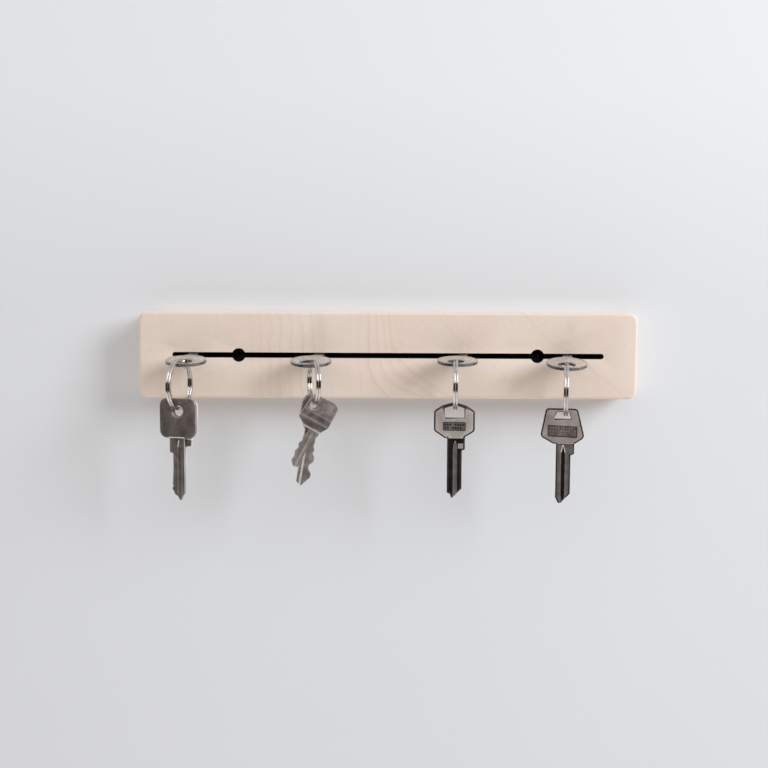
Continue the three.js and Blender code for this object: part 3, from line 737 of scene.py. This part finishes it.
# A kind's finish names the materials of these six places. Its head and blade are outlines of
# [x, z, radius] about the point where its ring goes through. The blade's flats lie below the ledge.
# LIT places carry a painted highlight; on the window and trapezoid keys RIM and SIDE are painted near-black
# as dark reflection and shade.
HEAD, BLADE, GROOVE, LIT, SIDE, RIM = range(6)
KINDS = {
    "square": dict(
        finish=("graphite", "graphite", "graphite", "lit_nickel", "graphite", "graphite"),
        ledge=-16.0, step=(-5.2, 4.6),
        head=[(-10.9, 6.3, 5), (-10.9, -16.6, 5), (11.5, -16.6, 5), (11.5, 6.3, 5)],
        eye=circle(3.2, 0.3, ROUND_EYE_TOP - 2.9), chamfer=0.9,
        blade=blade(-2.8, 4.3, -15, "left", 2.2, -25.5, [
            (-2.8, -44.4), (-3.5, -45), (-3.5, -46.2), (-2.7, -47.2), (-2, -49), (-0.3, -50),
            (0.9, -52.4, 0.5), (2.1, -52.2, 0.5), (2.9, -50), (4.3, -48.2)]),
        features=[
            groove(0.9, 1.9, -17.4, 0.4, BLADE, 4.5, 0.4, LIT), groove(3.3, 0.9, -21, 0.3, BLADE, 2.5)],
    ),
    "square_back": dict(
        finish=("graphite", "graphite", "graphite", "lit_nickel", "lit_nickel", "graphite"), ledge=-16.8,
        head=[(-10.9, 6, 5), (-10.9, -16.8, 5), (11, -16.8, 5), (11, 6, 5)],
        eye=circle(3.2, 0.2, ROUND_EYE_TOP - 3.1), chamfer=0.8,
        blade=blade(-2.4, 5, -15, "right", 3.4, -21.6, [
            (-2.4, -44), (-0.4, -48.6), (1.2, -49.8, 0.5), (4, -47), (5, -44)]),
        features=[groove(1.3, 1.4, -19.5, 0.4, BLADE)],
    ),
    "cut_front": dict(
        finish=("umber", "umber", "pale_nickel", "pale_nickel", "pale_nickel", "umber"), ledge=-13.4,
        head=[(-3.6, 3, 2.4), (1.6, 5.4, 2), (10.7, 5.8, 2.4), (14, 3.8, 2.4), (14, -9, 1.6), (11, -13.6, 1),
              (2, -14.4, 0.8), (-4.6, -10.3, 1.6)],
        eye=circle(2.6, 0.3, ROUND_EYE_TOP - 2.6), chamfer=0.8,
        blade=[(4.4, -12), (4.4, -17.4), (3.4, -19.4), (4.2, -21.6), (3, -24), (4.2, -26.2), (3.2, -29),
               (4.2, -31), (4, -34.6, 0.6), (6.6, -37.2, 0.4), (9.2, -36.4, 0.4), (9.2, -17, 0.3),
               (11, -16.2, 0.5), (11, -12)],
        features=[
            sunk(box(-PAST_SIDE, PAST_SIDE, -8.4, -4.9), 0.07, 0.6),
            sunk(box(-PAST_SIDE, PAST_SIDE, -13.2, -9.2), 0.1, 0.6),
            groove(7.4, 1.2, -15.2, 0.38, GROOVE, 2.0)],
    ),
    "cut_back": dict(
        finish=("graphite", "umber", "lit_nickel", "graphite", "umber", "graphite"), ledge=-15.4,
        head=[(-4.4, 4.4, 2.4), (2, 4.8, 2.4), (8.6, 2, 4), (9, -8, 4), (4.6, -16, 0.8), (-2.2, -16, 0.8),
              (-6.6, -7, 3.5), (-6.4, 0.6, 2.4)],
        eye=circle(2.6, 0, ROUND_EYE_TOP - 2.6), chamfer=0.7,
        blade=[(-2.2, -15), (-2.2, -45.8), (0.5, -48.4, 0.5), (5.4, -42.8, 0.4), (5.6, -40.6, 0.5),
               (3.5, -37.9), (3.4, -35.9), (5.8, -33.5, 0.5), (6, -31, 0.5), (4.5, -28.7), (5.3, -26.7, 0.5),
               (4.3, -24.4), (4.8, -22.3, 0.4), (4.8, -15)],
        features=[groove(-0.2, 1.1, -17.4, 0.38, GROOVE, 3.0)],
    ),
    "window": dict(
        finish=("satin", "milled", "milled_grey", "pale_nickel", "painted_dark_nickel", "painted_dark_nickel"),
        # Painted highlight: the head lightens up to 2.4 mm in from its outline.
        # Painted shade: the window key's face above z = -0.2, round the top of its eye, takes the dark rim
        # finish.
        ledge=-16.9, edge=1.0, lip=RIM, shade_above=-0.2, rub_and_sheen_reach=2.4,
        head=[(-2.2, 3.4, 0.8), (1, 3.4, 0.8), (6.2, 1.8, 1), (11.2, -1.3, 2.2), (11.2, -12.9, 2.4),
              (5.9, -16.2, 0.8), (5, -17, 0.4), (-6.2, -17, 0.4), (-7.2, -16.2, 0.8), (-12.2, -12.9, 2.4),
              (-12.2, -1.3, 2.2), (-7.4, 1.8, 1)],
        eye=rounded([(-2, EYE_TOP, 0.4), (-6.1, EYE_TOP - 1.2, 0.6), (-6.1, -5.2, 0.6), (5.2, -5.2, 0.6),
                     (5.2, EYE_TOP - 1.2, 0.6), (1.6, EYE_TOP, 0.4)]), chamfer=0.6,
        blade=blade(-4.5, 3.9, -15, "right", 1.7, -24.2, [
            (-4.5, -48.6), (-2.8, -49.2), (-1.8, -51.9, 0.5), (3.9, -46.2)]),
        features=[
            sunk(rounded([(-7, -12.65, 0.8), (6, -12.65, 0.8), (6, -7.55, 0.8), (-7, -7.55, 0.8)]),
                 0.35, 0.4, GROOVE, RIM, 0.4),
            *knurl(-0.5, -10.1, 11.6, 3.7, 0.35, 8, 2, RIM),
            groove(0.1, 2.4, -18.2, 0.4, GROOVE, 4.2),
            sunk(box(1.7, 4.6, -22.8, -20.0), 0.3, 0.3, LIT, None, 0.0),
            groove(-3.1, 0.8, -18.6, 0.3, BLADE, 2.5)],
    ),
    "trapezoid": dict(
        finish=("warm_satin", "milled_grey", "milled", "lit_nickel", "painted_dark_nickel", "painted_dark_nickel"),
        ledge=-17.0, edge=0.9, lip=RIM,
        head=[(-11.2, 3.4, 2.6), (6.8, 3.4, 2.6), (10.9, -13.2, 3), (5.1, -17.1, 0.8), (-6.9, -17.1, 0.8),
              (-14.3, -13, 3)],
        eye=rounded([(-4.6, EYE_TOP, 0.6), (-6.9, -2.6, 0.6), (3.2, -2.6, 0.6), (1.9, EYE_TOP, 0.4)]),
        chamfer=0.6,
        blade=blade(-5.2, 3.1, -15, "right", 2, -23.6, [
            (-5.2, -48.2), (-3.6, -51.4, 0.5), (-2.2, -51.4, 0.4), (3.1, -45.8)]),
        features=[
            sunk(rounded([(-10.1, -12.8, 0.8), (6.7, -13.4, 0.8), (6.7, -6.8, 0.8), (-10.1, -6.2, 0.8)]),
                 0.35, 0.35, BLADE, RIM, 0.5),
            *knurl(-1.7, -9.8, 15.2, 5.4, 0.35, 10, 3, HEAD),
            groove(-1.1, 2.8, -17.4, 0.45, GROOVE, 4.6, 0.5, LIT),
            groove(-3.8, 0.9, -19.6, 0.3, BLADE, 3.0), groove(1.6, 0.9, -19.6, 0.3, BLADE, 3.0)],
    ),
}


def union(head, tail):
    """The outline of head and tail together, from the edges of their triangles' outer side."""
    points, faces = triangulate([head, tail])
    middle = np.array([points[list(f)].mean(0) for f in faces])
    keep = within(middle, head) | within(middle, tail)
    count = {}
    for f, k in zip(faces, keep):
        if k:
            for a, b in zip(f, f[1:] + f[:1]):
                count.setdefault(frozenset((a, b)), []).append((a, b))
    following = dict(v[0] for v in count.values() if len(v) == 1)
    start = max(following, key=lambda i: points[i][1])
    order = [start]
    while following[order[-1]] != start:
        order.append(following[order[-1]])
    return anticlockwise(points[order])


def make_key(name, kind, place, slot):
    spec = KINDS[kind]
    outline = union(rounded(spec["head"]), rounded(spec["blade"]))
    build = Builder(*spec["finish"])
    ledge, shade_above = spec["ledge"], spec.get("shade_above", math.inf)
    left, right = spec.get("step", STEP_SIDES)
    step = sunk(box(left, right, STEP_END, ledge), STEP_DEPTH, STEP_SLOPE, None, spec.get("lip", LIT), 0.0)

    def zone(_, y):
        # Painted shade: above that height a face takes the dark rim finish.
        if y > shade_above:
            return RIM
        return BLADE if y < ledge else HEAD

    relief_plate(build, outline, spec["eye"], spec["chamfer"], [step, *spec["features"]],
                 spec.get("edge", EDGE), zone, spec.get("rub_and_sheen_reach", POLISH))
    build.piece(name, name, slot, [name], place, sharp=28, weighted=True)


# ---------------------------------------------------------------- rings, pins and tags

def make_ring(name, body, diameter, place):
    """Two turns of flattened wire side by side, which change sides over a short crossing. The wire is
    a little thinner than the CAD's, and its ends are filed down over a short stretch."""
    radius = diameter / 2 - WIRE_RADIAL / 2 - WIRE_SHY / 2
    across, up = WIRE_AXIAL / 2 - WIRE_CORNER, (WIRE_RADIAL - WIRE_SHY) / 2 - WIRE_CORNER
    corners = [(across, up), (-across, up), (-across, -up), (across, -up)]
    section = np.concatenate([arc(x, y, WIRE_CORNER, rad(90 * k), rad(90 * k + 90), 4)
                              for k, (x, y) in enumerate(corners)])
    total = 4 * math.pi - CROSSING
    filed = FILED / radius
    stations = [(at * filed, size) for at, size in FILED_SIZES]
    stations += [(a, 1.0) for a in np.linspace(filed, total - filed, RING_STEPS + 1)[1:-1]]
    stations += [(total - at * filed, size) for at, size in reversed(FILED_SIZES)]
    rows = []
    for angle, size in stations:
        t = min(1, max(0, (angle - 2 * math.pi + CROSSING) / CROSSING))
        side = (t * t * (3 - 2 * t) - 0.5) * WIRE_PITCH
        out = np.array([math.cos(angle), math.sin(angle), 0])
        along_axis = np.outer(section[:, 0] * size + side, (0, 0, 1))
        rows.append(out * radius + section[:, 1:] * size * out + along_axis)
    build = Builder("chrome")
    build.strip(rows)
    build.cap(rows[0], rows[-1])
    turn = Matrix.Rotation(rad(90), 4, "Y") @ Matrix.Rotation(rad(WIRE_END_AT), 4, "Z")
    build.piece(name, body, "ring_chrome", [name], place @ turn, sharp=40)


PIN_HEAD, PIN_SHANK, PIN_HEAD_HEIGHT, PIN_HALF, PIN_FROM_WALL = 1.95, 1.2, 1.25, 2.5, 16.8
PIN_ROUND, PIN_EASE, DIMPLE = 0.25, 0.1, [(0.5, 0), (0.35, 0.12)]


def make_pin(name, body, place):
    """A round shank with a head at each end, and a shallow dimple in each head."""
    neck = PIN_HALF - PIN_HEAD_HEIGHT
    half = [(PIN_SHANK, neck - PIN_EASE), (PIN_SHANK + PIN_EASE, neck),
            (PIN_HEAD - PIN_EASE, neck), (PIN_HEAD, neck + PIN_EASE)]
    half += [(PIN_HEAD - d, PIN_HALF - drop) for d, drop in rounding(PIN_ROUND, 5)]
    half += [(r, PIN_HALF - drop) for r, drop in DIMPLE]
    profile = [(r, -z) for r, z in reversed(half)] + [(PIN_SHANK, 0)] + half
    build = Builder("pin_steel")
    rows = lathe(profile, 40)
    build.strip(rows)
    build.cap(rows[0], rows[-1])
    build.piece(name, body, "pin_steel", [name], place, sharp=30)


TAG_RADIUS, TAG_THICKNESS, TAG_NECK, TAG_NECK_LENGTH, TAG_FILLET = 11.75, 2, 5.3, 4, 3
TAG_EASE, TAG_BAND = 0.3, 0.62
HOLE_RADIUS, HOLE_OFFSET, PIN_HOLE = 5, 4.7, 1.5
TAG_CENTRE = DEPTH - PIN_FROM_WALL + TAG_NECK_LENGTH + TAG_RADIUS


def make_tag(name, body, place):
    """A disc with a neck and two holes, lying flat in its own frame. Its cut edges look darker up to
    the height TAG_BAND than above it."""
    half, r = TAG_NECK / 2, TAG_FILLET
    rise = math.sqrt((TAG_RADIUS + r) ** 2 - (half + r) ** 2)
    lean = math.atan2(half + r, rise)
    outline = np.concatenate([
        arc(0, 0, half, math.pi, 0, 28),
        arc(half + r, rise - TAG_CENTRE, r, math.pi, 1.5 * math.pi - lean, 14),
        arc(0, -TAG_CENTRE, TAG_RADIUS, math.pi / 2 - lean, lean - 1.5 * math.pi, 120)[1:],
        arc(-half - r, rise - TAG_CENTRE, r, lean - math.pi / 2, 0, 14)[1:],
    ])
    outline = anticlockwise(outline)
    holes = [circle(PIN_HOLE, steps=40), circle(HOLE_RADIUS, 0, -TAG_CENTRE - HOLE_OFFSET, 96)]
    build = Builder("acrylic", "acrylic_edge")
    top = TAG_THICKNESS / 2
    edge = rounding(TAG_EASE, 4)
    lower = [*((d, drop - top) for d, drop in reversed(edge)), (0.0, TAG_BAND)]
    upper = [(0.0, TAG_BAND), *((d, top - drop) for d, drop in edge)]
    for loop, sign in ((outline, 1), *((hole, -1) for hole in holes)):
        build.strip([flat(inset(loop, sign * d), z) for d, z in lower], 1)
        build.strip([flat(inset(loop, sign * d), z) for d, z in upper])
    points, faces = fill(inset(outline, TAG_EASE), [inset(hole, -TAG_EASE) for hole in holes])
    for z in (-top, top):
        build.add(flat(points, z), faces)
    build.piece(name, body, "clear_acrylic", [name], place, sharp=35, weighted=True)


SCREW_SHANK, SCREW_LENGTH, SCREW_CORE, SCREW_PITCH, SCREW_POINT = 1.9, 34.0, 1.25, 1.7, 5.0
THREAD_TOP, THREAD_END, THREAD_STEPS, THREAD_START = 4.5, 0.15, 9, 1.2
CREST_SHARPNESS, CREST_AT_POINT, CREST_GROWTH, POINT_RADIUS = 3.4, 0.25, 0.4, 0.12
RECESS_MOUTH, RECESS_BOTTOM, RECESS_DEPTH = (2.1, 0.42), (1.0, 0.28), 1.5


def cross(arm, half_width):
    """The outline of a cross with four equal arms."""
    corners = [(arm, -half_width), (arm, half_width), (half_width, half_width)]
    loop = []
    for k in range(4):
        c, s = math.cos(k * math.pi / 2), math.sin(k * math.pi / 2)
        loop += [(c * u - s * v, s * u + c * v) for u, v in corners]
    return np.array(loop)


def thread(steps):
    """Rows of a thread from THREAD_TOP down to the point: its crest starts low and fades with the core."""
    a = np.linspace(0, 2 * math.pi, steps, endpoint=False)
    rows, z = [], -THREAD_TOP
    while z > THREAD_END - SCREW_LENGTH:
        z -= SCREW_PITCH / THREAD_STEPS
        taper = min(1.0, (SCREW_LENGTH + z) / SCREW_POINT)
        start = min(1.0, (-z - THREAD_TOP) / THREAD_START)
        phase = (-z / SCREW_PITCH + a / (2 * math.pi)) % 1.0
        crest = np.maximum(0, 1 - np.abs(phase - 0.5) * CREST_SHARPNESS)
        core = POINT_RADIUS + (SCREW_CORE - POINT_RADIUS) * taper
        r = core + (CREST_AT_POINT + CREST_GROWTH * taper) * crest * start
        rows.append(np.stack([r * np.cos(a), r * np.sin(a), np.full(steps, z)], 1))
    return rows


def make_screw(name, x):
    """A countersunk wood screw along Y: cross recess, neck and a cut thread down to the point."""
    build = Builder("screw_black")
    steps = 48
    rim = SCREW_HEAD - 0.35
    mouth, bottom = cross(*RECESS_MOUTH), cross(*RECESS_BOTTOM)
    for outer, holes, z in ((circle(rim, steps=steps), [mouth], 0), (bottom, [], -RECESS_DEPTH)):
        points, faces = fill(outer, holes)
        build.add(flat(points, z), faces)
    build.strip([flat(mouth, 0), flat(bottom, -RECESS_DEPTH)])
    rows = lathe([(rim, 0), (SCREW_HEAD - 0.1, -0.08), (SCREW_HEAD, -0.25), (SCREW_SHANK + 0.05, -2.3),
                  (1.55, -3.2), (1.5, -THREAD_TOP)], steps)
    rows += thread(steps)
    build.strip(rows)
    tip = np.concatenate([rows[-1], [(0, 0, -SCREW_LENGTH)]])
    build.add(tip, [(i, (i + 1) % steps, steps) for i in range(steps)])
    place = Matrix.Translation((x * MM, (FLOOR + SCREW_SEAT) * MM, 0)) @ Matrix.Rotation(rad(90), 4, "X")
    build.piece(name, "block", "screw_steel", [name], place, sharp=35)


# ---------------------------------------------------------------- assembly

# x is a tag's place along the slot. Headings turn a tag and its ring about Z, tilt is how far the
# tag's front edge hangs, and rim is where its ring rests on the tag's hole, if not at its heading.
# Each key has its label, kind, lean, place along the ring's axis and material slot.
STATIONS = [
    dict(x=-115, heading=-5, tilt=9, diameter=29.5, ring=-16.4, keys=[
        ("1a", "square", 0, -2.4, "key_dark_nickel"), ("1b", "square_back", -3, 0.3, "key_warm_nickel")]),
    dict(x=-39.6, heading=-14, tilt=9.5, diameter=26, ring=16.3, rim=32, keys=[
        ("2a", "cut_front", -29.5, -1.35, "key_brown_nickel"),
        ("2b", "cut_back", -10, 1.35, "key_dark_nickel")]),
    dict(x=45.8, heading=-15.5, tilt=7.7, diameter=29.5, ring=-3.8, keys=[
        ("3", "window", 0, 0, "key_bright_nickel")]),
    dict(x=107.1, heading=-10, tilt=11.8, diameter=30.5, ring=-9.4, keys=[
        ("4", "trapezoid", 0, 0, "key_warm_nickel")]),
]
RIM_CLEARANCE = 0.5


def moved(x, y, z):
    return Matrix.Translation((x * MM, y * MM, z * MM))


def rim_point(azimuth):
    """Where a ring rests on the rim of its tag's hole, in the tag's own frame."""
    across = HOLE_OFFSET * math.sin(azimuth)
    reach = math.sqrt(TAG_RADIUS ** 2 - across ** 2) - HOLE_OFFSET * math.cos(azimuth)
    middle = (HOLE_RADIUS + reach) / 2
    return moved(middle * math.sin(azimuth), -TAG_CENTRE - HOLE_OFFSET - middle * math.cos(azimuth), 0)


def make_station(number, x, heading, tilt, diameter, ring, keys, rim=None):
    lip_middle = DEPTH - PIN_FROM_WALL - LIP / 2
    tipped = moved(x, -PIN_FROM_WALL, lip_middle * math.tan(rad(tilt))) @ Matrix.Rotation(rad(tilt), 4, "X")
    make_pin(f"slide_pin_{number}", f"pin_{number}", tipped)
    turned = tipped @ Matrix.Rotation(rad(heading), 4, "Z")
    make_tag(f"tag_{number}", f"tag_{number}", turned)
    azimuth = rad((ring if rim is None else rim) - heading)
    point = (turned @ rim_point(azimuth)).translation
    radius = diameter / 2
    below = radius - WIRE_RADIAL - TAG_THICKNESS / 2 - RIM_CLEARANCE
    hung = Matrix.Translation(point) @ moved(0, 0, -below) @ Matrix.Rotation(rad(ring), 4, "Z")
    make_ring(f"split_ring_{number}", f"ring_{number}", diameter, hung)
    for label, kind, lean, along, slot in keys:
        place = hung @ moved(0, along, -(radius - WIRE_RADIAL / 2)) @ Matrix.Rotation(rad(-lean), 4, "Y")
        make_key(f"key_{label}", kind, place, slot)


make_block()
for index, x in enumerate(SCREW_PLACES):
    make_screw(f"wall_screw_{index + 1}", x)
for index, station in enumerate(STATIONS):
    make_station(index + 1, **station)


# ---------------------------------------------------------------- wall and light

WALL_HALF, WALL_BACK = 4.0, 0.0004


def make_wall():
    """A painted wall just behind the block, with painted light that makes it lighter towards its top. From
    behind it is clear, so the back can be seen.
    """
    h = WALL_HALF
    mesh = bpy.data.meshes.new("wall")
    mesh.from_pydata([(-h, 0, -h), (h, 0, -h), (h, 0, h), (-h, 0, h)], [], [(0, 1, 2, 3)])
    keep_own_place(mesh)
    s = Shader("wall")
    grain = s.pattern((420, 420, 420))
    cloud = s.pattern((5, 5, 5), 2.0)
    height = s.split(s("TexCoord").outputs["Object"])[2]
    # Painted light: the wall is made lighter from 3 cm to 16 cm above the block's middle, for the stronger
    # light higher up.
    higher = s.map_range(height, 0.03, 0.16)
    colour = s.mix(cloud, (0.725, 0.742, 0.773), (0.745, 0.762, 0.792))
    paint = s("BsdfPrincipled", {
        "Base Color": s.mix(higher, colour, (0.80, 0.82, 0.855)), "Roughness": 0.7,
        "Specular IOR Level": 0.2, "Normal": s.bump(grain, 0.15, 0.0002),
    })
    behind = s("NewGeometry").outputs["Backfacing"]
    s.finish(s("MixShader", {0: behind, 1: paint.outputs[0], 2: s("BsdfTransparent").outputs[0]}))
    mesh.materials.append(s.material)
    wall = bpy.data.objects.new("wall", mesh)
    wall.location.y = WALL_BACK
    wall.visible_diffuse = False
    wall.visible_shadow = False
    bpy.context.scene.collection.objects.link(wall)


def make_world(strength):
    """A pale room. In front of the wall it has a dark band level with the object, bright above and
    below."""
    world = bpy.data.worlds.new("room")
    world.use_nodes = True
    w = Nodes(world.node_tree, "OutputWorld")
    _, inward, up = w.split(w("TexCoord").outputs["Generated"])
    height = w.map_range(up, -1.0, 1.0)
    dark = (0.03, 0.025, 0.026)
    front_side = w.ramp(height, [
        (0.0, (0.90, 0.86, 0.83)), (0.25, (1.0, 0.95, 0.91)), (0.31, dark),
        (0.575, dark), (0.64, (1.05, 1.0, 0.96)), (1.0, (0.64, 0.62, 0.60))], True)
    wall_side = w.ramp(height, [(0.0, (0.97, 0.93, 0.89)), (1.0, (0.74, 0.715, 0.69))], True)
    ahead = w.map_range(inward, -0.45, -0.15)
    w.finish(w("Background", {0: w.mix(ahead, front_side, wall_side), 1: strength}))
    bpy.context.scene.world = world


def make_lamp(name, direction, away, size, power, colour):
    """A rectangular lamp that faces the origin from away metres off. size is its two sides."""
    data = bpy.data.lights.new(name, "AREA")
    data.shape = "RECTANGLE"
    data.size, data.size_y = size
    data.energy = power
    data.color = colour
    lamp = bpy.data.objects.new(name, data)
    lamp.location = Vector(direction).normalized() * away
    lamp.rotation_mode = "QUATERNION"
    lamp.rotation_quaternion = Vector(direction).to_track_quat("Z", "Y")
    bpy.context.scene.collection.objects.link(lamp)


make_wall()
make_world(strength=1.14)
make_lamp("window", (34, -22, 18), away=2.6, size=(1.0, 1.3), power=50, colour=(0.90, 0.96, 1.0))
bpy.context.scene.view_settings.view_transform = "Standard"
